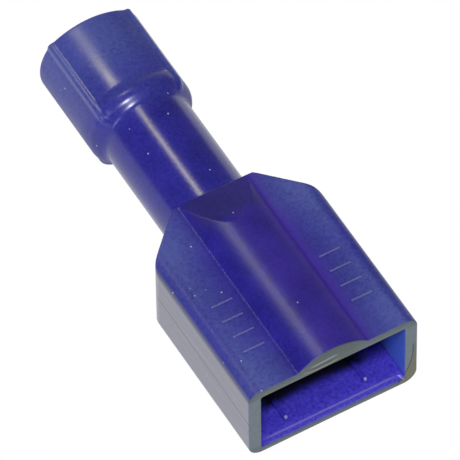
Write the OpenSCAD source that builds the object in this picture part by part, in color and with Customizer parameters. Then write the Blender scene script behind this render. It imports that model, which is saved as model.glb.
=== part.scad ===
// Fully insulated female spade terminal for a 6.35 mm tab and 1.5 to 2.5 mm2 wire.
// A receptacle folded from sheet is held through a crimp sleeve inside one nylon moulding.
// The mouth faces -Y, the wire enters from +Y, and the part lies on its flat underside.

/* [Tab and wire] */
// Width of the flat tab that the receptacle takes
tab_w = 6.35; // [6:0.05:6.6]
// Thickness of the tab
tab_t = 0.8; // [0.7:0.05:0.9]
// Inner diameter of the barrel that takes the bare strands
barrel_id = 2.3; // [2:0.05:2.4]
// Inner diameter of the sleeve's wide end that takes the insulated wire
bell_id = 3.7; // [3.5:0.05:3.8]

/* [Receptacle] */
// Thickness of the sheet that the receptacle is folded from
sheet_t = 0.4; // [0.3:0.02:0.44]
// Length of the two rolled edges
receptacle_l = 6.8; // [6:0.1:8]
// Room at each side of the tab between the rolled edges
tab_side_gap = 0.125; // [0.05:0.025:0.2]
// Amount by which the rolled edges pinch the tab
tab_pinch = 0.05; // [0.02:0.01:0.1]
// Diameter of the detent that snaps into the hole of the tab
detent_d = 1.7; // [1.2:0.1:2]
// Height of the detent above the sheet
detent_h = 0.3; // [0.15:0.05:0.35]
// Length of the barrel
barrel_l = 6; // [5:0.1:6.4]
// Gap of the butted seam along the top of the barrel
seam_gap = 0.12; // [0.05:0.01:0.2]

/* [Crimp sleeve] */
// Wall of the sleeve
sleeve_wall = 0.28; // [0.2:0.02:0.34]
// Length of the sleeve's wide end
bell_l = 4.3; // [3.5:0.1:4.6]
// Length of the cone between the narrow and the wide end
cone_l = 0.8; // [0.5:0.1:1]
// Clearance round the barrel inside the sleeve, and round the sleeve
sleeve_fit = 0.02; // [0.01:0.01:0.04]

/* [Mouth box] */
// Height of the hollow behind the mouth
cavity_h = 4.1; // [4:0.1:4.6]
// Thickness of the side walls
side_wall = 0.7; // [0.5:0.05:0.9]
// Thickness of the floor
floor_wall = 0.5; // [0.4:0.05:0.7]
// Thickness of the roof beside the crown
roof_wall = 0.5; // [0.4:0.05:0.8]
// Gap between the receptacle and each side wall
receptacle_side_gap = 0.45; // [0.2:0.05:0.6]
// Distance from the mouth to the front of the receptacle
receptacle_inset = 2.6; // [2.2:0.1:3.5]
// Rounding of the two long upper edges
upper_edge_r = 0.64; // [0.3:0.02:0.7]
// Rounding of the two long lower edges
lower_edge_r = 0.72; // [0.4:0.02:0.9]

/* [Shoulders] */
// Width that is left at the rear end of the shoulders
shoulder_w = 4.7; // [4.2:0.1:5.2]
// Length over which the shoulders draw in
shoulder_l = 2.55; // [2.2:0.05:3]
// Rounding of the corners between the shoulders and the sides
shoulder_r = 1.2; // [1:0.1:2]

/* [Crown] */
// Width of the crown where it stands on the roof
crown_w = 4; // [3:0.1:4.4]
// Height of the crown above the roof
crown_h = 0.76; // [0.4:0.02:1]
// Length of the sloping rear end of the crown
crown_ramp_l = 2.7; // [1.5:0.1:3]

/* [Mouth details] */
// Length of the sloping lead-in along the floor of the mouth
lead_in_l = 0.3; // [0.2:0.05:0.5]
// Height that the lead-in takes off the floor at the mouth
lead_in_h = 0.17; // [0.1:0.01:0.25]
// Width of each of the two floor ribs that the receptacle lies on
rib_w = 0.26; // [0.2:0.02:0.4]
// Height of the floor ribs
rib_h = 0.25; // [0.1:0.05:0.3]
// Distance between the middles of the floor ribs
rib_pitch = 4.6; // [3.6:0.1:4.8]
// Distance from the mouth to the rounded ends of the ribs
rib_inset = 0.65; // [0.5:0.05:1]

/* [Neck] */
// Wall of the neck round the sleeve
neck_wall = 0.59; // [0.5:0.01:0.62]
// Height of the axis of the neck above the middle of the box
axis_raise = 0.13; // [0.02:0.01:0.2]
// Length of the neck between the shoulders and the funnel
neck_l = 6.6; // [6.4:0.1:8]
// Radius of the fillet between the neck and the step of the funnel
neck_fillet_r = 0.19; // [0.1:0.01:0.4]

/* [Wire funnel] */
// Length of the funnel from its step to its rim
funnel_l = 6; // [5.8:0.1:8]
// Wall of the funnel at its round sides
funnel_wall = 0.79; // [0.6:0.01:1]
// Height of the funnel's flattened faces above the neck
funnel_rise = 0.14; // [0.1:0.01:0.2]
// Width of the flattened faces between their corner ridges
funnel_face_w = 4.6; // [4:0.1:4.8]
// Rounding of the funnel's step
funnel_step_r = 0.75; // [0.3:0.05:0.8]
// Radius of the four corner ridges
ridge_r = 0.2; // [0.15:0.01:0.25]
// Height of the corner ridges above the corners
ridge_h = 0.1; // [0.05:0.01:0.12]
// Width of the bevel inside the rim
rim_bevel = 0.2; // [0.1:0.02:0.24]

/* [Hidden] */
$fn = 96;

// Overlap that carries a cut past the face that it opens
cut = 1;
// Depth to which joined forms reach into each other
root = 0.2;
// Room between the receptacle's rear corners and the shoulders
corner_gap = 0.05;
// How far the ramp of the crown is drawn past its top
steep = 1.4;

roll_r = sheet_t + tab_t - tab_pinch;
receptacle_w = tab_w + 2 * (tab_side_gap + sheet_t);
receptacle_end_y = receptacle_inset + receptacle_l;
barrel_od = barrel_id + 2 * sheet_t;
sleeve_id = barrel_od + 2 * sleeve_fit;
sleeve_od = sleeve_id + 2 * sleeve_wall;
bell_od = bell_id + 2 * sleeve_wall;

box_w = receptacle_w + 2 * (receptacle_side_gap + side_wall);
box_h = floor_wall + cavity_h + roof_wall;
shoulder_y = receptacle_end_y + corner_gap;
box_l = shoulder_y + shoulder_l;
shoulder_turn = atan((box_w - shoulder_w) / 2 / shoulder_l);
crown_r = (crown_w * crown_w / 4 + crown_h * crown_h) / (2 * crown_h);

axis_z = box_h / 2 + axis_raise;
neck_bore_d = sleeve_od + 2 * sleeve_fit;
neck_d = neck_bore_d + 2 * neck_wall;
funnel_y = box_l + neck_l;
overall_l = funnel_y + funnel_l;
funnel_bore_d = bell_od + 2 * sleeve_fit;
funnel_d = funnel_bore_d + 2 * funnel_wall;
funnel_h = neck_d + 2 * funnel_rise;
corner_z = sqrt(funnel_d * funnel_d - funnel_face_w * funnel_face_w) / 2;
face_rise = funnel_h / 2 - corner_z;
face_r = (funnel_face_w * funnel_face_w / 4 + face_rise * face_rise) / (2 * face_rise);

base_z = floor_wall + rib_h;
barrel_y = box_l + root;
barrel_low_z = axis_z - barrel_od / 2;
bell_end_y = overall_l - 2 * rim_bevel;
bell_y = bell_end_y - bell_l;
cone_y = bell_y - cone_l;
seat_y = cone_y + 2 * sleeve_fit * cone_l / (bell_od - sleeve_od);

// Draws an outline in X and Z out along Y, from y over length l
module along_y(y, l) {
    translate([0, y + l, 0])
        rotate([90, 0, 0])
            linear_extrude(height = l)
                children();
}

// Draws an outline in Y and Z out along X, to both sides of the middle
module across_x(w) {
    rotate([90, 0, 90])
        linear_extrude(height = w, center = true)
            children();
}

// Turns an outline of radius and length about the neck's axis, from y on
module round_y(y) {
    translate([0, y, axis_z])
        rotate([-90, 0, 0])
            rotate_extrude()
                children();
}

// Bar on the neck's axis, from y over length l, with a diameter at each end
module bar_y(y, l, d1, d2) {
    translate([0, y, axis_z])
        rotate([-90, 0, 0])
            cylinder(d1 = d1, d2 = d2, h = l);
}

// Outline of the box seen from its mouth, with rounded long edges
module box_section() {
    half = box_w / 2;
    translate([-half, lower_edge_r])
        square([box_w, box_h - lower_edge_r - upper_edge_r]);
    translate([-half + lower_edge_r, 0])
        square([box_w - 2 * lower_edge_r, box_h / 2]);
    translate([-half + upper_edge_r, box_h / 2])
        square([box_w - 2 * upper_edge_r, box_h / 2]);
    for (side = [-1, 1]) {
        translate([side * (half - lower_edge_r), lower_edge_r])
            circle(r = lower_edge_r);
        translate([side * (half - upper_edge_r), box_h - upper_edge_r])
            circle(r = upper_edge_r);
    }
}

// Outline of the box seen from above, drawn in by inset all round
module box_plan(inset) {
    half = box_w / 2 - inset;
    corner_r = shoulder_r - inset;
    corner_y = shoulder_y - inset * tan(shoulder_turn / 2);
    tangent = corner_r * tan(shoulder_turn / 2);
    end_y = box_l - inset;
    right = [
        [half, -cut],
        [half, corner_y - tangent],
        [half - tangent * sin(shoulder_turn), corner_y + tangent * cos(shoulder_turn)],
        [half - (end_y - corner_y) * tan(shoulder_turn), end_y]
    ];
    left = [for (i = [len(right) - 1:-1:0]) [-right[i][0], right[i][1]]];
    polygon(concat(right, left));
    for (side = [-1, 1])
        translate([side * (half - corner_r), corner_y - tangent])
            circle(r = corner_r);
}

// Outer form of the mouth box, from its mouth to the end of its shoulders
module box_body() {
    intersection() {
        along_y(0, box_l)
            box_section();
        translate([0, 0, -cut])
            linear_extrude(height = box_h + 2 * cut)
                box_plan(0);
    }
}

// Rounded crown along the roof, over the barrel, with a sloping rear end
module crown() {
    intersection() {
        translate([0, 0, box_h + crown_h - crown_r])
            rotate([-90, 0, 0])
                cylinder(r = crown_r, h = box_l);
        across_x(crown_w)
            polygon([
                [-cut, box_h - root],
                [box_l, box_h - root],
                [box_l, box_h],
                [box_l - steep * crown_ramp_l, box_h + steep * crown_h],
                [-cut, box_h + steep * crown_h]
            ]);
    }
}

// Side of the funnel as radius and length: a rounded step with a fillet to the neck
module funnel_side() {
    r = funnel_d / 2;
    square([r - funnel_step_r, funnel_l]);
    translate([0, funnel_step_r])
        square([r, funnel_l - funnel_step_r]);
    translate([r - funnel_step_r, funnel_step_r])
        circle(r = funnel_step_r);
    difference() {
        translate([0, -neck_fillet_r])
            square([neck_d / 2 + neck_fillet_r, 2 * neck_fillet_r]);
        translate([neck_d / 2 + neck_fillet_r, -neck_fillet_r])
            circle(r = neck_fillet_r);
    }
}

// Funnel round the wire: round sides, and a flatter arc above and below
module funnel_body() {
    intersection() {
        round_y(funnel_y)
            funnel_side();
        translate([0, 0, axis_z])
            along_y(funnel_y - cut, funnel_l + 2 * cut)
                intersection() {
                    translate([0, funnel_h / 2 - face_r])
                        circle(r = face_r);
                    translate([0, face_r - funnel_h / 2])
                        circle(r = face_r);
                }
    }
}

// Four small ridges along the corners between the round sides and the flatter faces
module corner_ridges() {
    reach = (funnel_d / 2 + ridge_h - ridge_r) / (funnel_d / 2);
    for (side = [-1, 1])
        for (level = [-1, 1])
            translate([
                side * reach * funnel_face_w / 2,
                funnel_y + funnel_step_r,
                axis_z + level * reach * corner_z
            ])
                rotate([-90, 0, 0])
                    cylinder(r = ridge_r, h = funnel_l - funnel_step_r, $fn = 24);
}

// Hollow behind the mouth, as wide as the box leaves it, and its floor's lead-in
module cavity() {
    translate([0, 0, floor_wall])
        linear_extrude(height = cavity_h)
            box_plan(side_wall);
    across_x(box_w - 2 * side_wall)
        polygon([
            [-cut, floor_wall - lead_in_h],
            [0, floor_wall - lead_in_h],
            [lead_in_l, floor_wall],
            [-cut, floor_wall]
        ]);
}

// Bore through the neck and the funnel, with a cone that the crimp sleeve's own cone seats on
module sleeve_bore() {
    front_y = box_l - side_wall - root;
    wide_y = seat_y + cone_l;
    bar_y(front_y, seat_y - front_y, neck_bore_d, neck_bore_d);
    bar_y(seat_y, cone_l, neck_bore_d, funnel_bore_d);
    bar_y(wide_y, overall_l - wide_y + cut, funnel_bore_d, funnel_bore_d);
    bar_y(overall_l - rim_bevel, rim_bevel, funnel_bore_d, funnel_bore_d + 2 * rim_bevel);
}

// Two low ribs on the floor, with rounded front ends, that carry the receptacle
module floor_ribs() {
    for (side = [-1, 1])
        translate([side * rib_pitch / 2, rib_inset + rib_w / 2, floor_wall - root])
            linear_extrude(height = rib_h + root) {
                circle(d = rib_w);
                translate([-rib_w / 2, 0])
                    square([rib_w, receptacle_end_y - rib_inset - rib_w / 2]);
            }
}

// Nylon moulding round the whole terminal: mouth box, neck and wire funnel in one piece
module housing() {
    color([0.17, 0.14, 0.55])
        translate([0, -overall_l / 2, 0]) {
            difference() {
                union() {
                    box_body();
                    crown();
                    bar_y(box_l - side_wall / 2, neck_l + side_wall, neck_d, neck_d);
                    funnel_body();
                    corner_ridges();
                }
                cavity();
                sleeve_bore();
            }
            floor_ribs();
        }
}

// Outline of the receptacle seen from the mouth: a flat base with both edges rolled in
module receptacle_section() {
    roll_x = receptacle_w / 2 - roll_r;
    translate([-roll_x, 0])
        square([2 * roll_x, sheet_t]);
    for (side = [-1, 1])
        difference() {
            translate([side * roll_x, roll_r])
                circle(r = roll_r);
            translate([side * roll_x, roll_r])
                circle(r = roll_r - sheet_t);
            translate([side * roll_x - (side > 0 ? roll_r : 0), 0])
                square([roll_r, roll_r]);
        }
}

// Neck of sheet that rises from the base to the barrel and draws in to its width
module strap() {
    wide = receptacle_w / 2 - roll_r;
    narrow = barrel_id / 2 - sheet_t / 2;
    start_y = receptacle_end_y - root;
    ramp_end_y = box_l - side_wall - root;
    end_y = barrel_y - root;
    intersection() {
        across_x(receptacle_w)
            polygon([
                [start_y, base_z],
                [receptacle_end_y, base_z],
                [ramp_end_y, barrel_low_z],
                [end_y, barrel_low_z],
                [end_y, barrel_low_z + sheet_t],
                [ramp_end_y, barrel_low_z + sheet_t],
                [receptacle_end_y, base_z + sheet_t],
                [start_y, base_z + sheet_t]
            ]);
        translate([0, 0, base_z - cut])
            linear_extrude(height = box_h)
                polygon([
                    [-wide, start_y],
                    [wide, start_y],
                    [narrow, ramp_end_y],
                    [narrow, end_y],
                    [-narrow, end_y],
                    [-narrow, ramp_end_y]
                ]);
    }
}

// Barrel with a butted seam, whose front end is cut away on a slant down to the strap
module barrel() {
    slant_l = barrel_od / 2;
    difference() {
        bar_y(barrel_y - slant_l, barrel_l + slant_l, barrel_od, barrel_od);
        bar_y(barrel_y - slant_l - cut, barrel_l + slant_l + 2 * cut, barrel_id, barrel_id);
        translate([-seam_gap / 2, barrel_y - slant_l - cut, axis_z])
            cube([seam_gap, barrel_l + slant_l + 2 * cut, barrel_od]);
        across_x(2 * barrel_od)
            polygon([
                [barrel_y - slant_l - cut, barrel_low_z + sheet_t],
                [barrel_y - slant_l, barrel_low_z + sheet_t],
                [barrel_y, axis_z + barrel_od / 2 + root],
                [barrel_y - slant_l - cut, axis_z + barrel_od / 2 + root]
            ]);
    }
}

// Domed detent pressed up out of the base, hollow from below
module detent(grow) {
    dome_r = (detent_d * detent_d / 4 + detent_h * detent_h) / (2 * detent_h);
    translate([0, receptacle_inset + receptacle_l / 2, base_z + grow + detent_h - dome_r])
        sphere(r = dome_r);
}

// Receptacle for the tab, folded with its strap and barrel from one piece of sheet
module receptacle() {
    color([0.78, 0.76, 0.72])
        translate([0, -overall_l / 2, 0]) {
            difference() {
                union() {
                    translate([0, 0, base_z])
                        along_y(receptacle_inset, receptacle_l)
                            receptacle_section();
                    strap();
                    intersection() {
                        detent(sheet_t);
                        translate([-detent_d, receptacle_inset, base_z])
                            cube([2 * detent_d, receptacle_l, sheet_t + 2 * detent_h]);
                    }
                }
                detent(0);
            }
            barrel();
        }
}

// Plated sleeve round the barrel, with a wide end that is crimped on the wire's insulation
module crimp_sleeve() {
    color([0.72, 0.66, 0.55])
        translate([0, -overall_l / 2, 0])
            difference() {
                union() {
                    bar_y(barrel_y, cone_y - barrel_y, sleeve_od, sleeve_od);
                    bar_y(cone_y, cone_l, sleeve_od, bell_od);
                    bar_y(bell_y, bell_l, bell_od, bell_od);
                }
                bar_y(barrel_y - cut, cone_y - barrel_y + cut, sleeve_id, sleeve_id);
                bar_y(cone_y, cone_l, sleeve_id, bell_id);
                bar_y(bell_y, bell_l + cut, bell_id, bell_id);
            }
}

housing();
receptacle();
crimp_sleeve();
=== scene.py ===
import math

import bpy
import numpy as np
from mathutils import Matrix, Vector


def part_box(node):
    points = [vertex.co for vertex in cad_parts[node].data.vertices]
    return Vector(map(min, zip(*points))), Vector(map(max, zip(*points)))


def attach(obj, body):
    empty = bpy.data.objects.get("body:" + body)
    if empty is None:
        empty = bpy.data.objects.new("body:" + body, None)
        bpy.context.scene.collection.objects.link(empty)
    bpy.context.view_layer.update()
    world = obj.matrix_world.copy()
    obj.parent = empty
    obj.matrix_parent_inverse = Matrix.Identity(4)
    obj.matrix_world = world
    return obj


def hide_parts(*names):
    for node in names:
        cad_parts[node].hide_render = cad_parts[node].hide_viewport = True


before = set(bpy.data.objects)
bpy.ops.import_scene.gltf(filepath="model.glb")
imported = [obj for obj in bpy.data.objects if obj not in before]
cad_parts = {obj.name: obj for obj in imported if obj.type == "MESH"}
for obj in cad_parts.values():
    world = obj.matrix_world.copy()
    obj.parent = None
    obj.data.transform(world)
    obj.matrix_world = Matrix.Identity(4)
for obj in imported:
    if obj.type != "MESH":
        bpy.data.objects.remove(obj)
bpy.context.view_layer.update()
mm = 0.001

# ---- View ------------------------------------------------------------------------------
# Long lens from the left of the mouth, looking well down on the roof. It is turned round the
# middle of the mouth's face, and aimed from there.
scene = bpy.context.scene
scene.view_settings.view_transform = "Standard"

housing_low, housing_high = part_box("housing")
turn = math.radians(-30.644)
lift = math.radians(54.418)
roll = math.radians(0.10)
lens_distance = 395.34 * mm
mouth_centre = Vector((0, housing_low.y, 2.5 * mm))
aim_right = -5.146 * mm
aim_up = 7.852 * mm
film_width = 36
focal_length = 622.75

away = Vector((math.sin(turn) * math.cos(lift), -math.cos(turn) * math.cos(lift), math.sin(lift)))
level_right = Vector((math.cos(turn), math.sin(turn), 0))
level_up = away.cross(level_right)
view_right = level_right * math.cos(roll) + level_up * math.sin(roll)
view_up = level_up * math.cos(roll) - level_right * math.sin(roll)
eye = mouth_centre + away * lens_distance
aim = mouth_centre + view_right * aim_right + view_up * aim_up
back = (eye - aim).normalized()
side = view_up.cross(back).normalized()
up = back.cross(side)

camera_data = bpy.data.cameras.new("camera")
camera_data.sensor_width = film_width
camera_data.lens = focal_length
camera_data.clip_start = 10 * mm
camera_data.clip_end = 10
camera = bpy.data.objects.new("camera", camera_data)
camera.matrix_world = Matrix.Translation(eye) @ Matrix((side, up, back)).transposed().to_4x4()
scene.collection.objects.link(camera)
scene.camera = camera

# ---- Floor -----------------------------------------------------------------------------
# Pale seamless sheet that the terminal lies on. The camera and the gloss of the nylon see it
# as plain white, and it throws soft light up on the sides.
floor_size = 0.6
floor_gap = 0.02 * mm


class Socket:
    """A node's output, on which a Python expression adds the Math nodes."""

    def __init__(self, tree, out):
        self.tree = tree
        self.out = out

    def math(self, operation, *values):
        node = self.tree.nodes.new("ShaderNodeMath")
        node.operation = operation
        for slot, value in zip(node.inputs, values):
            if isinstance(value, Socket):
                self.tree.links.new(value.out, slot)
            else:
                slot.default_value = value
        return Socket(self.tree, node.outputs[0])

    def __add__(self, other):
        return self.math("ADD", self, other)

    def __radd__(self, other):
        return self.math("ADD", other, self)

    def __sub__(self, other):
        return self.math("SUBTRACT", self, other)

    def __rsub__(self, other):
        return self.math("SUBTRACT", other, self)

    def __mul__(self, other):
        return self.math("MULTIPLY", self, other)

    def __rmul__(self, other):
        return self.math("MULTIPLY", other, self)

    def __truediv__(self, other):
        return self.math("DIVIDE", self, other)

    def abs(self):
        return self.math("ABSOLUTE", self)

    def clamp(self):
        return self.math("MINIMUM", self.math("MAXIMUM", self, 0.0), 1.0)

    def rise(self, low, high):
        """0 below low, 1 above high, and a straight climb between them."""
        return ((self - low) / (high - low)).clamp()

    def band(self, centre, half, soft):
        """1 within half of centre, and 0 further out, with a soft edge."""
        return 1 - (self - centre).abs().rise(half, half + soft)


class Tree:
    """Node tree in which one call adds a node with its settings and its sockets' values."""

    prefix = "ShaderNode"

    def node(self, kind, settings=None, values=None):
        node = self.tree.nodes.new(self.prefix + kind)
        for name, value in (settings or {}).items():
            setattr(node, name, value)
        for name, value in (values or {}).items():
            slot = node.inputs[name]
            if isinstance(value, Socket):
                self.tree.links.new(value.out, slot)
            else:
                slot.default_value = value
        return node

    def get(self, node, name=0):
        return Socket(self.tree, node.outputs[name])


class Finish(Tree):
    """Material of one finish."""

    def __init__(self, name):
        self.material = bpy.data.materials.new(name)
        self.material.use_nodes = True
        self.tree = self.material.node_tree
        self.tree.nodes.clear()

    def place(self):
        """Object coordinates in millimetres, as a vector and as its three numbers."""
        where = self.get(self.node("TexCoord"), "Object")
        scaled = self.node("VectorMath", {"operation": "SCALE"}, {0: where, "Scale": 1 / mm})
        scaled = self.get(scaled)
        split = self.node("SeparateXYZ", values={0: scaled})
        return scaled, self.get(split, 0), self.get(split, 1), self.get(split, 2)

    def stretched(self, where, along):
        return self.get(self.node("VectorMath", {"operation": "MULTIPLY"}, {0: where, 1: along}))

    def noise(self, where, scale, detail):
        values = {"Vector": where, "Scale": scale, "Detail": detail}
        return self.get(self.node("TexNoise", values=values))

    def blend(self, share, first, second):
        return self.get(self.node("Mix", {"data_type": "RGBA"}, {0: share, 6: first, 7: second}), 2)

    def end(self, shader):
        self.tree.links.new(shader.outputs[0], self.node("OutputMaterial").inputs[0])


floor_mesh = bpy.data.meshes.new("floor")
half = floor_size / 2
floor_corners = [(-half, -half, 0), (half, -half, 0), (half, half, 0), (-half, half, 0)]
floor_mesh.from_pydata(floor_corners, [], [(0, 1, 2, 3)])
floor = bpy.data.objects.new("floor", floor_mesh)
floor.location.z = -floor_gap
scene.collection.objects.link(floor)

sheet = Finish("floor_sheet")
path = sheet.node("LightPath")
seen = sheet.get(path, "Is Camera Ray") + sheet.get(path, "Is Glossy Ray")
seen = seen + sheet.get(path, "Is Transmission Ray")
paper = sheet.get(sheet.node("BsdfDiffuse", values={"Color": (0.9, 0.9, 0.9, 1)}))
white = sheet.get(sheet.node("Emission", values={"Color": (1, 1, 1, 1), "Strength": 1.0}))
sheet.end(sheet.node("MixShader", values={0: seen.clamp(), 1: paper, 2: white}))
floor_mesh.materials.append(sheet.material)

# ---- Light -----------------------------------------------------------------------------
# A dim even surround and three lamps: a small key above the mouth, a strip behind that draws
# the line down crown and neck, and a soft fill from the left.
surround_strength = 0.20

surround = bpy.data.worlds.new("surround")
surround.use_nodes = True
even_light = surround.node_tree.nodes["Background"]
even_light.inputs["Color"].default_value = (1, 1, 1, 1)
even_light.inputs["Strength"].default_value = surround_strength
scene.world = surround


def lamp(name, direction, distance, width, length, brightness, colour=(1, 1, 1)):
    """Area lamp that faces the part from a direction, with its brightness per area."""
    data = bpy.data.lights.new(name, "AREA")
    data.shape = "RECTANGLE"
    data.size = width
    data.size_y = length
    data.energy = brightness * width * length * math.pi
    data.color = colour
    thing = bpy.data.objects.new(name, data)
    towards = Vector(direction).normalized()
    thing.location = towards * distance
    thing.rotation_euler = towards.to_track_quat("Z", "Y").to_euler()
    scene.collection.objects.link(thing)


warm_white = (1.0, 0.93, 0.58)
lamp("key_lamp", (-0.25, -0.43, 0.87), 0.40, 0.07, 0.07, 64)
lamp("strip_lamp", (-0.13, 0.50, 0.86), 0.40, 0.050, 0.09, 14, warm_white)
lamp("left_fill", (-0.90, -0.15, 0.40), 0.45, 0.20, 0.20, 2.5)

# ---- Housing skin ----------------------------------------------------------------------
# One moulding in deep blue nylon: mouth box with drawn-in shoulders, crown, neck and wire
# funnel, hollow from mouth to rim. Its sections are solved along rays from the neck's axis,
# outside from mouth to rim and inside back again, so that the wall is one closed shell.
half_w = (housing_high.x - housing_low.x) / mm / 2
overall_l = (housing_high.y - housing_low.y) / mm
crown_top = (housing_high.z - housing_low.z) / mm
crown_h = 0.76
crown_w = 4.0
crown_ramp_l = 2.7
box_h = crown_top - crown_h
side_wall = 0.7
floor_z = 0.5
ceiling_z = 4.6
upper_edge_r = 0.64
lower_edge_r = 0.72
shoulder_w = 4.7
shoulder_l = 2.55
shoulder_r = 1.2
box_l = 12.0
axis_z = box_h / 2 + 0.13
neck_start = box_l - side_wall / 2
neck_r = 2.46
neck_bore_r = 1.87
funnel_l = 6.0
funnel_r = 2.94
funnel_bore_r = 2.15
funnel_step_r = 0.75
funnel_half_h = 2.60
face_w = 4.6
ridge_r = 0.2
ridge_h = 0.1
seat_y = 19.157
cone_l = 0.8
settle_start = 0.35
settle_l = 1.3
top_step_extra = 0.45
step_blend = 0.30
step_blend_end = 0.6
arc_blend = 0.08
ridge_blend = 0.14
ridge_sink = 1.3
neck_blend = 0.22
shoulder_blend = 0.07
ramp_blend = 0.03
roof_blend = 0.05
crown_root = 0.2
rim_bevel = 0.2
lead_in_l = 0.3
lead_in_h = 0.17
edge_r = 0.07
inner_edge_r = 0.04
inner_corner_r = 0.12
rib_w = 0.26
rib_pitch = 4.6
rib_start = 0.65
rear_fillet = 0.08
least_angle = 0.004

shoulder_y = box_l - shoulder_l
shoulder_turn = math.atan2(half_w - shoulder_w / 2, shoulder_l)
funnel_y = overall_l - funnel_l
crown_r = (crown_w ** 2 / 4 + crown_h ** 2) / (2 * crown_h)
corner_z = math.sqrt(4 * funnel_r ** 2 - face_w ** 2) / 2
face_rise = funnel_half_h - corner_z
face_r = (face_w ** 2 / 4 + face_rise ** 2) / (2 * face_rise)


def soft_max(a, b, k):
    """The larger of two, blended over k where they are close."""
    share = np.clip(0.5 + 0.5 * (a - b) / k, 0, 1)
    return b + (a - b) * share + k * share * (1 - share)


def soft_min(a, b, k):
    return -soft_max(-a, -b, k)


def rounded(a, b, r):
    """Distance to a corner of two faces that a radius rounds."""
    return np.minimum(np.maximum(a, b), 0) + np.hypot(np.maximum(a, 0), np.maximum(b, 0)) - r


def plan_half(y, inset):
    """Half the width that the box's plan leaves at y, past its rounded shoulders."""
    half, corner_r = half_w - inset, shoulder_r - inset
    corner_y = shoulder_y - inset * math.tan(shoulder_turn / 2)
    tangent = corner_r * math.tan(shoulder_turn / 2)
    if y < corner_y - tangent:
        return half
    if y < corner_y + tangent * math.cos(shoulder_turn):
        return half - corner_r + math.sqrt(corner_r ** 2 - (y - corner_y + tangent) ** 2)
    return half - (y - corner_y) * math.tan(shoulder_turn)


def box_form(x, y, z):
    middle = box_h / 2
    r = np.where(z < middle, lower_edge_r, upper_edge_r)
    section = rounded(np.abs(x) - half_w + r, np.abs(z - middle) - middle + r, r)
    drawn_in = half_w - plan_half(y, 0)
    blend = 0.001 + min(drawn_in, shoulder_blend)
    return soft_max(section, np.abs(x) - half_w + drawn_in, blend)


def crown_form(x, y, z):
    tilt = math.atan(crown_h / crown_ramp_l)
    arc = np.hypot(x, z - (crown_top - crown_r)) - crown_r
    ramp = (z - box_h) * math.cos(tilt) - (box_l - y) * math.sin(tilt)
    return np.maximum(soft_max(arc, ramp, ramp_blend), box_h - crown_root - z)


def neck_form(x, y, z):
    return np.hypot(x, z - axis_z) - neck_r


def funnel_form(x, y, z):
    """Funnel behind its round step. The upper face starts only behind the step."""
    over_axis = z - axis_z
    step_r = funnel_step_r + top_step_extra * np.clip(over_axis / funnel_r, 0, 1) ** 2
    ahead = funnel_y + step_r - y
    wall = rounded(np.hypot(x, over_axis) - funnel_r + step_r, ahead, step_r)
    sunk = step_r - np.sqrt(step_r ** 2 - np.clip(ahead, 0, step_r) ** 2)
    near_step = (funnel_y + funnel_step_r + step_blend_end - y) / funnel_step_r
    blend = arc_blend + step_blend * min(1, max(0, near_step))
    settled = min(1, max(0, (y - funnel_y - settle_start) / settle_l))
    run_out = (funnel_r - funnel_half_h) * (1 - settled ** 2 * (3 - 2 * settled))
    for level, lifted in ((1, run_out), (-1, 0)):
        arc = np.hypot(x, over_axis - lifted - level * (funnel_half_h - face_r)) - face_r
        wall = soft_max(wall, arc, blend)
    reach = (funnel_r + ridge_h - ridge_r - ridge_sink * sunk) / funnel_r
    for level in (1, -1):
        from_x, from_z = np.abs(x) - reach * face_w / 2, over_axis - level * reach * corner_z
        wall = soft_min(wall, np.hypot(from_x, from_z) - ridge_r, ridge_blend)
    return wall


def outer_form(x, y, z):
    if y > box_l:
        return soft_min(neck_form(x, y, z), funnel_form(x, y, z), neck_blend)
    box = soft_min(box_form(x, y, z), crown_form(x, y, z), roof_blend)
    return soft_min(box, neck_form(x, y, z), roof_blend) if y > neck_start else box


def cavity_form(x, y, z):
    middle, half_h = (ceiling_z + floor_z) / 2, (ceiling_z - floor_z) / 2
    lead_in = np.where(z < middle, lead_in_h * max(0, 1 - y / lead_in_l), 0)
    past_x = np.abs(x) - plan_half(y, side_wall)
    past_z = np.abs(z - middle) - half_h - lead_in
    return rounded(past_x + inner_corner_r, past_z + inner_corner_r, inner_corner_r)


def ray_angles():
    """Directions round the axis: even along the box, and close at corners and ridges."""
    points = []
    for t in np.linspace(0, 1, 70, endpoint=False):
        points += [(half_w * (2 * t - 1), 0.0), (half_w * (1 - 2 * t), box_h)]
    for t in np.linspace(0, 1, 30, endpoint=False):
        points += [(half_w, box_h * t), (-half_w, box_h * (1 - t))]
    points += [(crown_w / 2 * t, box_h) for t in np.linspace(-0.95, 0.95, 54)]
    for sx in (-1, 1):
        for t in np.linspace(0, math.pi / 2, 14):
            out, up_by = 1 - math.sin(t), 1 - math.cos(t)
            points.append((sx * (half_w - lower_edge_r * out), lower_edge_r * up_by))
            points.append((sx * (half_w - upper_edge_r * out), box_h - upper_edge_r * up_by))
        for z in (floor_z, ceiling_z):
            points += [(sx * (half_w - side_wall), z + d) for d in np.linspace(-0.10, 0.10, 5)]
        points += [(sx * crown_w / 2 + d, box_h) for d in np.linspace(-0.06, 0.06, 5)]
        for level in (-1, 1):
            corner = math.atan2(level * corner_z, sx * face_w / 2)
            for d in np.linspace(-0.10, 0.10, 13):
                points.append((math.cos(corner + d), axis_z + math.sin(corner + d)))
    found = sorted(math.atan2(z - axis_z, x) for x, z in points)
    kept = found[:1]
    for angle in found[1:]:
        if angle - kept[-1] > least_angle:
            kept.append(angle)
    return np.array(kept)


angles = ray_angles()


def reach_of(form, y, top=8.0):
    """Radius at which each ray of the section at y leaves a form."""
    low, high = np.zeros_like(angles), np.full_like(angles, top)
    for _ in range(30):
        r = (low + high) / 2
        inside = form(r * np.cos(angles), y, axis_z + r * np.sin(angles)) < 0
        low, high = np.where(inside, r, low), np.where(inside, high, r)
    return (low + high) / 2


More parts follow.
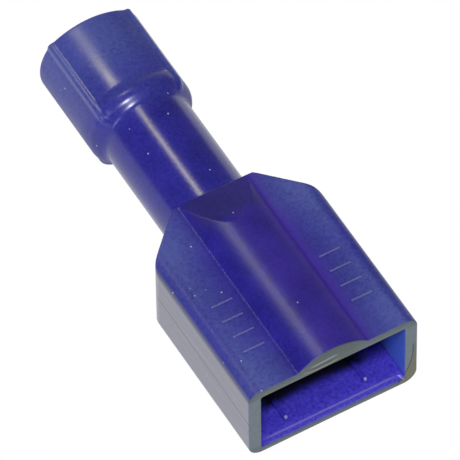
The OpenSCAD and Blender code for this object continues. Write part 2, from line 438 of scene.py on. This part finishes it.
def stations(*stretches):
    """Places along the part from stretches of (start, end, step)."""
    parts = [np.linspace(a, b, round((b - a) / step) + 1) for a, b, step in stretches]
    return np.unique(np.concatenate(parts).round(4))


def quarter(count):
    """Sine and cosine at even steps of a quarter turn."""
    return [(math.sin(t), math.cos(t)) for t in np.linspace(0, math.pi / 2, count)]


def even(r):
    return np.full_like(angles, r)


# Outside, from the mouth's edge over the box, neck and funnel to the rim
rings = []
for s, c in quarter(5):
    rings.append((edge_r * (1 - c), reach_of(outer_form, 0) - edge_r * (1 - s)))
for y in stations((0.12, 8.4, 0.5), (8.4, 9.2, 0.10), (9.2, 11.9, 0.05)):
    rings.append((y, reach_of(outer_form, y)))
neck_reach = even(neck_r)
for s, c in quarter(5):
    y = box_l - edge_r * (1 - s)
    rings.append((y, np.maximum(reach_of(outer_form, y) - edge_r * (1 - c), neck_reach)))
foot = np.clip(rings[-1][1] - neck_reach, 0, rear_fillet)
for s, c in quarter(5):
    rings.append((box_l + 0.002 + rear_fillet * (1 - c), neck_reach + foot * (1 - s)))
neck_stations = ((12.3, 18.0, 0.6), (18.0, 18.4, 0.05))
funnel_stations = ((18.4, 19.5, 0.025), (19.5, 20.4, 0.05), (20.4, 24.4, 0.5))
for y in stations(*neck_stations, *funnel_stations):
    rings.append((y, reach_of(outer_form, y)))
rim_reach = reach_of(outer_form, overall_l)
for s, c in quarter(5):
    rings.append((overall_l - edge_r * (1 - s), rim_reach - edge_r * (1 - c)))

# Inside, from the rim's bevel through the bores and the cavity back to the mouth
rings += [
    (overall_l, even(funnel_bore_r + rim_bevel)),
    (overall_l - rim_bevel, even(funnel_bore_r)),
    (seat_y + cone_l, even(funnel_bore_r)),
    (seat_y, even(neck_bore_r)),
    (box_l - side_wall, even(neck_bore_r)),
]
deep = stations((lead_in_l, 8.4, 0.6), (8.4, 9.7, 0.1), (9.7, box_l - side_wall, 0.3))
for y in deep[::-1]:
    rings.append((y, reach_of(cavity_form, y)))
for s, c in quarter(4):
    rings.append((inner_edge_r * (1 - s), reach_of(cavity_form, 0) + inner_edge_r * (1 - c)))

count = len(angles)
corners = []
for y, r in rings:
    along = even(y - overall_l / 2)
    corners.append(np.stack([r * np.cos(angles), along, axis_z + r * np.sin(angles)], 1))
faces = []
for i in range(len(rings)):
    j = (i + 1) % len(rings)
    for k in range(count):
        n = (k + 1) % count
        faces.append((i * count + k, j * count + k, j * count + n, i * count + n))


def smooth_piece(name, mesh, sharp_degrees):
    """Object of a mesh with smooth faces and edges that stay sharp beyond an angle."""
    mesh.polygons.foreach_set("use_smooth", [True] * len(mesh.polygons))
    mesh.set_sharp_from_angle(angle=math.radians(sharp_degrees))
    piece = bpy.data.objects.new(name, mesh)
    scene.collection.objects.link(piece)
    return piece


skin_mesh = bpy.data.meshes.new("housing_skin")
skin_mesh.from_pydata((np.concatenate(corners) * mm).tolist(), [], faces)
housing_skin = smooth_piece("housing_skin", skin_mesh, 38)

nylon = Finish("blue_nylon")
where, x, y, z = nylon.place()
from_mouth = y + overall_l / 2
across = x.abs()
cloud = nylon.noise(where, 0.5, 3.0)
mottle = nylon.noise(where, 4.0, 3.0)
grain = nylon.noise(where, 7.0, 2.0)
streak = nylon.noise(nylon.stretched(where, (1.0, 0.18, 5.0)), 1.6, 3.0)

# Where each part of the moulding lies
crown_foot = crown_w / 2
inner_w = half_w - side_wall
inner_end = box_l - side_wall
on_face = 1 - from_mouth.rise(0.012, 0.05)
on_box = 1 - from_mouth.rise(box_l + 0.02, box_l + 0.10)
past_shoulder = from_mouth.math("MAXIMUM", from_mouth - shoulder_y, 0.0)
spread = across + past_shoulder * math.tan(shoulder_turn)
within = 1 - spread.rise(half_w - side_wall / 2 - 0.05, half_w - side_wall / 2)
within = within * z.rise(floor_z / 2 - 0.05, floor_z / 2)
within = within * (1 - z.rise(ceiling_z + 0.20, ceiling_z + 0.25))
hollow = within * (1 - from_mouth.rise(inner_end + 0.05, inner_end + 0.15)) * (1 - on_face)
over_axis = z - axis_z
from_axis = over_axis * over_axis + x * x
near_bore = from_axis.rise((funnel_bore_r + 0.04) ** 2, (funnel_bore_r + 0.10) ** 2)
bore = (1 - on_box) * (1 - near_bore)
outside = (1 - hollow) * (1 - on_face) * (1 - bore)
on_side = across.rise(half_w - 0.16, half_w - 0.02) * outside
on_side = on_side * (1 - from_mouth.rise(shoulder_y - 0.25, shoulder_y + 0.35))
on_wing = z.rise(box_h - 0.35, box_h - 0.02) * on_box
on_wing = on_wing * across.rise(crown_foot - 0.1, crown_foot + 0.3)
on_funnel = 0.25 * from_mouth.rise(funnel_y - 0.8, funnel_y + 0.2)
on_funnel = on_funnel + 0.75 * from_mouth.rise(funnel_y + 0.6, funnel_y + 4.4)
on_step = from_mouth.band(funnel_y + 0.10, 0.25, 0.60)
flank = (1 - z.rise(3.4, 4.4)) * from_mouth.rise(funnel_y - 0.4, funnel_y + 0.2)
ridge_x = across - face_w / 2
ridge_z = over_axis.abs() - corner_z
on_ridge = 1 - (ridge_x * ridge_x + ridge_z * ridge_z).rise(0.15 ** 2, 0.30 ** 2)
on_ridge = on_ridge * from_mouth.rise(funnel_y + 0.4, funnel_y + 1.0)
ramp_y = box_l - crown_ramp_l
on_ramp = from_mouth.rise(ramp_y + 0.2, ramp_y + 0.9) * on_box * (1 - across.rise(1.5, 2.1))

# Deep blue, darker on its ramp, with a painted violet tint on the right half of the crown that
# stands for warm light from the right
dark_blue, light_blue = (0.002, 0.001, 0.178, 1), (0.021, 0.011, 0.325, 1)
dark_painted_violet, light_painted_violet = (0.021, 0.007, 0.205, 1), (0.041, 0.020, 0.318, 1)
dark_ramp, light_ramp = (0.011, 0.009, 0.110, 1), (0.027, 0.021, 0.195, 1)
flank_painted_light = (0.050, 0.016, 0.350, 1)
flow = (0.5 * cloud.rise(0.35, 0.65) + 0.5 * grain.rise(0.35, 0.65)).clamp()
deep_blue = nylon.blend(flow, dark_blue, light_blue)
painted_violet = nylon.blend(flow, dark_painted_violet, light_painted_violet)
# Painted light on the crown's right flank, which the key leaves in shade
painted_violet = nylon.blend(x.rise(1.3, 1.9), painted_violet, flank_painted_light)
# Painted light: the crown's right half takes the violet tint
painted_violet_share = x.band(1.0, 1.0, 0.8) * on_box
deep_blue = nylon.blend(0.8 * painted_violet_share, deep_blue, painted_violet)
ramp_blue = nylon.blend(flow, dark_ramp, light_ramp)
deep_blue = nylon.blend(0.7 * on_ramp, deep_blue, ramp_blue)

# Painted sheen: a pale reflection painted on the wings, the funnel, its ridges and the box's upper
# edges
sheen_blue = (0.065, 0.085, 0.352, 1)
painted_sheen = 0.08 + 0.92 * across.rise(2.2, 4.0)
painted_sheen = painted_sheen * (0.75 + 0.55 * (from_mouth - 5.5).abs().rise(0.0, 4.5))
painted_sheen = painted_sheen + 0.20 * (1 - from_mouth.rise(0.5, 3.0)) + 0.32 * from_mouth.rise(8.0, 9.6)
painted_sheen = painted_sheen * on_wing * (1 - 0.45 * across.rise(4.0, 4.3))
painted_sheen = painted_sheen + on_funnel * (0.85 + 0.35 * z.rise(5.02, 5.25))
painted_sheen = painted_sheen + 0.6 * on_ridge + 0.15 * (1 - on_box)
rounding = z.rise(box_h - upper_edge_r, box_h - 0.35)
rounding = rounding * (1 - z.rise(box_h - 0.15, box_h - 0.02))
painted_sheen = painted_sheen + 0.25 * rounding * across.rise(4.2, 4.5) * on_box
patchy_sheen = painted_sheen * (0.7 + 0.6 * (mottle - 0.5) + 0.9 * (grain - 0.5))
blue = nylon.blend(patchy_sheen.clamp() * outside, deep_blue, sheen_blue)

# Grey sides, a painted reflection of the white floor
side_reflection_grey = (0.045, 0.055, 0.105, 1)
blue = nylon.blend(on_side * (0.75 + 0.6 * (streak - 0.5)).clamp(), blue, side_reflection_grey)

# The mouth's inside is a painted glow, as if light came through the thin walls, stronger on the
# side walls, and it darkens with its depth
dark_floor, light_floor = (0.036, 0.026, 0.430, 1), (0.078, 0.060, 0.610, 1)
wall_glow_blue = (0.070, 0.145, 0.690, 1)
rib_blue = (0.022, 0.014, 0.300, 1)
depth_shade_blue = (0.003, 0.002, 0.025, 1)
lip_highlight_pale = (0.300, 0.270, 0.620, 1)
knob_highlight_pale = (0.420, 0.420, 0.640, 1)
on_wall = across.rise(inner_w - 0.10, inner_w) * z.rise(0.55, 0.80)
inside_painted_light = nylon.blend(grain.rise(0.3, 0.7), dark_floor, light_floor)
# Painted glow, brighter on the side walls
inside_painted_light = nylon.blend(on_wall, inside_painted_light, wall_glow_blue)
# The ribs' tops get less of the painted glow
rib_top = (across - rib_pitch / 2).band(0.0, 0.08, 0.05)
rib_top = rib_top * z.rise(0.66, 0.72) * (1 - z.rise(1.0, 1.1))
inside_painted_light = nylon.blend(0.5 * rib_top, inside_painted_light, rib_blue)
# Painted shade that deepens into the mouth, weaker near the side walls
depth_shade = from_mouth + 0.20 * across.rise(0.6, 2.4)
depth_shade = depth_shade.rise(1.85, 2.30) * (1 - 0.75 * across.rise(2.6, 3.4))
inside_painted_light = nylon.blend(depth_shade, inside_painted_light, depth_shade_blue)
# Painted highlights along the lead-in's edge and the mouth's lip
lip_highlight = from_mouth.band(lead_in_l, 0.03, 0.04) + 0.6 * from_mouth.band(0.05, 0.02, 0.03)
lip_highlight = lip_highlight * z.rise(0.30, 0.34) * (1 - z.rise(0.60, 0.65)) * (1 - across.rise(3.5, 3.9))
inside_painted_light = nylon.blend(0.40 * lip_highlight.clamp(), inside_painted_light, lip_highlight_pale)
knob_x = across - rib_pitch / 2
knob_y = from_mouth - rib_start - rib_w / 2
# Painted highlight on the ribs' domed front ends
knob_highlight = 1 - (knob_x * knob_x + knob_y * knob_y).rise(0.06 ** 2, 0.10 ** 2)
knob_highlight = knob_highlight * z.rise(floor_z + 0.10, floor_z + 0.15) * (1 - z.rise(1.0, 1.1))
inside_painted_light = nylon.blend(0.8 * knob_highlight, inside_painted_light, knob_highlight_pale)
blue = nylon.blend(hollow, blue, inside_painted_light)

# The mouth's face is painted paler, standing for the light it reflects, and painted shade darkens
# it under the roof and along its lower edge
dark_face, light_face = (0.108, 0.152, 0.195, 1), (0.148, 0.184, 0.222, 1)
face_shade = (0.045, 0.068, 0.062, 1)
pale_face = nylon.blend(mottle.rise(0.3, 0.7), dark_face, light_face)
shaded = z.rise(4.5, 4.6) * (0.45 + 0.30 * x.band(0.0, 1.1, 0.8))
shaded = shaded + 0.40 * (1 - z.rise(0.5, 0.7))
pale_face = nylon.blend(shaded, pale_face, face_shade)
blue = nylon.blend(on_face, blue, pale_face)

# A hair-thin burr left along the ceiling's edge under the crown, with painted shade in the gap
# above it
gap_shade_dark = (0.008, 0.022, 0.016, 1)
gleam_pale = (0.270, 0.340, 0.390, 1)
burr_tan = (0.280, 0.270, 0.160, 1)
slant = z - 0.06 * x
gap_shade = on_face * slant.band(4.97, 0.03, 0.05) * x.band(-0.65, 0.50, 0.30)
blue = nylon.blend(0.75 * gap_shade, blue, gap_shade_dark)
# Painted highlight line above the gap
gleam = on_face * slant.band(5.19, 0.03, 0.06) * x.band(-0.55, 0.55, 0.30)
blue = nylon.blend(0.8 * gleam, blue, gleam_pale)
burr_x = x + 0.6
burr = on_face * (z - 0.10 * burr_x * burr_x).band(4.75, 0.03, 0.03)
blue = nylon.blend(0.8 * burr * x.band(-0.70, 0.80, 0.30), blue, burr_tan)

# A flush witness line of the mould, round the lower right corner of the mouth face
witness_x = 0.58
witness_z = 2.70
witness_r = 4.03
corner_olive = (0.130, 0.140, 0.085, 1)
witness_dark = (0.010, 0.012, 0.030, 1)
arc_x = x - witness_x
arc_z = z - witness_z
arc_square = arc_x * arc_x + arc_z * arc_z
arc_out = arc_square.math("SQRT", arc_square) - witness_r
corner = on_face * x.rise(3.55, 3.65) * (1 - z.rise(2.9, 3.1))
blue = nylon.blend(corner * arc_out.rise(0.02, 0.05), blue, corner_olive)
blue = nylon.blend(corner * arc_out.band(0.0, 0.02, 0.02), blue, witness_dark)

# The parting line of the mould along both sides
parting_z = 2.75
parting_dark = (0.010, 0.011, 0.030, 1)
parting = on_side * z.band(parting_z, 0.015, 0.04)
blue = nylon.blend(0.85 * parting, blue, parting_dark)

# Painted highlight along the tops of the raised bars
bar_highlight_pale = (0.300, 0.290, 0.480, 1)
bar_tops = z.rise(box_h + 0.02, box_h + 0.05) * on_box
bar_tops = bar_tops * across.rise(crown_foot + 0.15, crown_foot + 0.20)
blue = nylon.blend(0.30 * bar_tops, blue, bar_highlight_pale)

# Specks of dust, where a speck's centre lies close under the surface
dust = (0.50, 0.50, 0.62, 1)
cell = nylon.node("TexVoronoi", values={"Vector": where, "Scale": 1.5})
chance = nylon.get(nylon.node("SeparateColor", values={0: nylon.get(cell, "Color")}))
speck = (1 - nylon.get(cell, "Distance").rise(0.05, 0.08)) * chance.rise(0.74, 0.76) * outside
blue = nylon.blend(0.8 * speck, blue, dust)

# Gloss: satin on box and funnel, shiny on the neck, the step and the bars' tops
coat = on_side * (0.55 + 0.6 * streak) * (1 - 0.9 * parting)
dull = 0.20 + 0.06 * mottle + 0.12 * on_box + 0.12 * on_wing + 0.10 * on_face
dull = dull + 0.22 * on_funnel - 0.14 * from_mouth.rise(funnel_y + 1.1, funnel_y + 2.0)
dull = dull + 0.20 * flank - 0.03 * on_step - 0.16 * bar_tops
ripple = nylon.noise(where, 1.3, 2.0)
relief = nylon.node("Bump", values={
    "Height": 0.8 * ripple + 0.2 * mottle + 0.15 * grain,
    "Strength": 0.2,
    "Distance": 0.02 * mm,
})
nylon.end(nylon.node("BsdfPrincipled", values={
    "Base Color": blue,
    "Roughness": dull.clamp(),
    "IOR": 1.53,
    "Coat Weight": coat.clamp(),
    "Coat Roughness": 0.3,
    "Normal": nylon.get(relief),
}))
skin_mesh.materials.append(nylon.material)
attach(housing_skin, "root")
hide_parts("housing")

# ---- Floor ribs ------------------------------------------------------------------------
# Two low ribs of the same moulding on the floor of the mouth, with domed front ends. The
# receptacle lies on them.
rib_h = 0.25
rib_end = 9.4
rib_root = 0.1


class Form(Tree):
    """Geometry Nodes tree of one piece, with a named input for each of its sizes."""

    prefix = "GeometryNode"

    def __init__(self, name, sizes):
        self.name = name
        self.sizes = sizes
        self.tree = bpy.data.node_groups.new(name, "GeometryNodeTree")
        sockets = self.tree.interface
        sockets.new_socket("Geometry", in_out="INPUT", socket_type="NodeSocketGeometry")
        sockets.new_socket("Geometry", in_out="OUTPUT", socket_type="NodeSocketGeometry")
        for size in sizes:
            sockets.new_socket(size, in_out="INPUT", socket_type="NodeSocketFloat")
        self.entry = self.tree.nodes.new("NodeGroupInput")

    def size(self, name):
        return self.get(self.entry, name)

    def vector(self, x, y, z):
        node = self.tree.nodes.new("ShaderNodeCombineXYZ")
        for slot, value in zip(node.inputs, (x, y, z)):
            if isinstance(value, Socket):
                self.tree.links.new(value.out, slot)
            else:
                slot.default_value = value
        return Socket(self.tree, node.outputs[0])

    def joined(self, *shapes):
        node = self.node("JoinGeometry")
        for shape in shapes:
            self.tree.links.new(shape.out, node.inputs[0])
        return self.get(node)

    def moved(self, shape, offset):
        return self.get(self.node("Transform", values={"Geometry": shape, "Translation": offset}))

    def swept(self, course, section):
        """Closed bar of a section along a course."""
        values = {"Curve": course, "Profile Curve": section, "Fill Caps": True}
        return self.get(self.node("CurveToMesh", values=values))

    def piece(self, shape, material, sharp_degrees):
        """Ends the tree, grows it on an empty mesh and returns the plain piece."""
        whole = self.get(self.node("RealizeInstances", values={0: shape}))
        done = self.get(self.node("SetMaterial", values={"Geometry": whole, "Material": material}))
        self.tree.links.new(done.out, self.tree.nodes.new("NodeGroupOutput").inputs[0])
        start = bpy.data.meshes.new(self.name + "_start")
        carrier = bpy.data.objects.new(self.name + "_carrier", start)
        scene.collection.objects.link(carrier)
        grow = carrier.modifiers.new("grow", "NODES")
        grow.node_group = self.tree
        for item in self.tree.interface.items_tree:
            if item.in_out == "INPUT" and item.name in self.sizes:
                grow[item.identifier] = self.sizes[item.name]
        grown = carrier.evaluated_get(bpy.context.evaluated_depsgraph_get())
        mesh = bpy.data.meshes.new_from_object(grown)
        carrier.modifiers.remove(grow)
        bpy.data.objects.remove(carrier)
        mesh.name = self.name
        return smooth_piece(self.name, mesh, sharp_degrees)


ribs = Form("floor_ribs", {
    "Width": rib_w * mm,
    "Height": rib_h * mm,
    "Length": (rib_end - rib_start) * mm,
    "Pitch": rib_pitch * mm,
    "Root": rib_root * mm,
})
width, height, root = ribs.size("Width"), ribs.size("Height"), ribs.size("Root")
body_l = ribs.size("Length") - width / 2
bar = ribs.get(ribs.node("MeshCube", values={"Size": ribs.vector(width, body_l, height + root)}))
bar = ribs.moved(bar, ribs.vector(0, width / 2 + body_l / 2, height / 2 - root / 2))
post = ribs.get(ribs.node("MeshCylinder", values={
    "Vertices": 24,
    "Radius": width / 2,
    "Depth": height / 2 + root,
}))
post = ribs.moved(post, ribs.vector(0, width / 2, height / 4 - root / 2))
dome = ribs.get(ribs.node("MeshUVSphere", values={
    "Segments": 24,
    "Rings": 14,
    "Radius": width / 2,
}))
dome = ribs.moved(dome, ribs.vector(0, width / 2, height - width / 2))
pair = ribs.node("MeshLine", {"mode": "END_POINTS"}, {
    "Count": 2,
    "Start Location": ribs.vector(ribs.size("Pitch") * -0.5, 0, 0),
    "Offset": ribs.vector(ribs.size("Pitch") * 0.5, 0, 0),
})
both = ribs.get(ribs.node("InstanceOnPoints", values={
    "Points": ribs.get(pair),
    "Instance": ribs.joined(bar, post, dome),
}))
placed = ribs.moved(both, (0, (rib_start - overall_l / 2) * mm, floor_z * mm))
floor_ribs = ribs.piece(placed, nylon.material, 40)
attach(floor_ribs, "root")

# ---- Mould line ------------------------------------------------------------------------
# Hair of nylon along the crown's left border, where the insert that forms the crown meets
# the rest of the mould.
line_r = 0.02
line_start = 0.3
line_end = 11.2

seam = Form("mould_line", {"Radius": line_r * mm})
straight = seam.get(seam.node("CurvePrimitiveLine", values={
    "Start": (-crown_w / 2 * mm, (line_start - overall_l / 2) * mm, box_h * mm),
    "End": (-crown_w / 2 * mm, (line_end - overall_l / 2) * mm, box_h * mm),
}))
thread = seam.get(seam.node("CurvePrimitiveCircle", values={
    "Resolution": 8,
    "Radius": seam.size("Radius"),
}))
mould_line = seam.piece(seam.swept(straight, thread), nylon.material, 60)
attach(mould_line, "root")

# ---- Raised bars -----------------------------------------------------------------------
# Row of four plain bars on each wing, evenly spaced and moulded on as thin raised strokes,
# where such parts are marked. They say nothing.
bar_count = 4
bar_l = 1.2
bar_pitch = 1.05
bar_r = 0.085
bar_sink = 0.02
bar_x = 3.1
bar_y = 4.1

bars = Form("raised_bars", {
    "Length": bar_l * mm,
    "Pitch": bar_pitch * mm,
    "Radius": bar_r * mm,
    "Wing": bar_x * mm,
})
bar_half = bars.size("Length") * 0.5
course = bars.get(bars.node("CurvePrimitiveLine", values={
    "Start": bars.vector(bar_half * -1, 0, 0),
    "End": bars.vector(bar_half, 0, 0),
}))
tip = bars.get(bars.node("CurvePrimitiveCircle", values={
    "Resolution": 12,
    "Radius": bars.size("Radius"),
}))
places = bars.get(bars.node("MeshLine", values={
    "Count": bar_count,
    "Offset": bars.vector(0, bars.size("Pitch"), 0),
}))
row = bars.get(bars.node("InstanceOnPoints", values={
    "Points": places,
    "Instance": bars.swept(course, tip),
}))
row_start = (bar_y - overall_l / 2 - (bar_count - 1) * bar_pitch / 2) * mm
row_z = (box_h - bar_sink) * mm
left_row = bars.moved(row, bars.vector(bars.size("Wing") * -1, row_start, row_z))
right_row = bars.moved(row, bars.vector(bars.size("Wing"), row_start, row_z))
raised_bars = bars.piece(bars.joined(left_row, right_row), nylon.material, 60)
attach(raised_bars, "root")

# ---- Receptacle ------------------------------------------------------------------------
# Folded from one piece of tin plated brass sheet, with rolled edges and a barrel. Satin
# plating with fine drawing lines along the length.
tin = Finish("tinned_sheet")
where = tin.place()[0]
lines = tin.noise(tin.stretched(where, (9.0, 0.6, 9.0)), 2.0, 3.0)
tin.end(tin.node("BsdfPrincipled", values={
    "Base Color": tin.blend(lines, (0.52, 0.50, 0.46, 1), (0.68, 0.66, 0.61, 1)),
    "Roughness": 0.24 + 0.16 * lines,
    "Metallic": 1.0,
}))
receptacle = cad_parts["receptacle"]
receptacle.data.materials.clear()
receptacle.data.materials.append(tin.material)

# ---- Crimp sleeve ----------------------------------------------------------------------
# Drawn tube over the barrel, belled at the wire end. Plated, with faint rings left by
# the drawing.
plate = Finish("plated_tube")
where = plate.place()[0]
drawn_rings = plate.noise(plate.stretched(where, (0.5, 8.0, 0.5)), 2.0, 2.0)
plate.end(plate.node("BsdfPrincipled", values={
    "Base Color": plate.blend(drawn_rings, (0.48, 0.42, 0.33, 1), (0.64, 0.58, 0.47, 1)),
    "Roughness": 0.26 + 0.14 * drawn_rings,
    "Metallic": 1.0,
}))
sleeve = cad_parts["crimp_sleeve"]
sleeve.data.materials.clear()
sleeve.data.materials.append(plate.material)
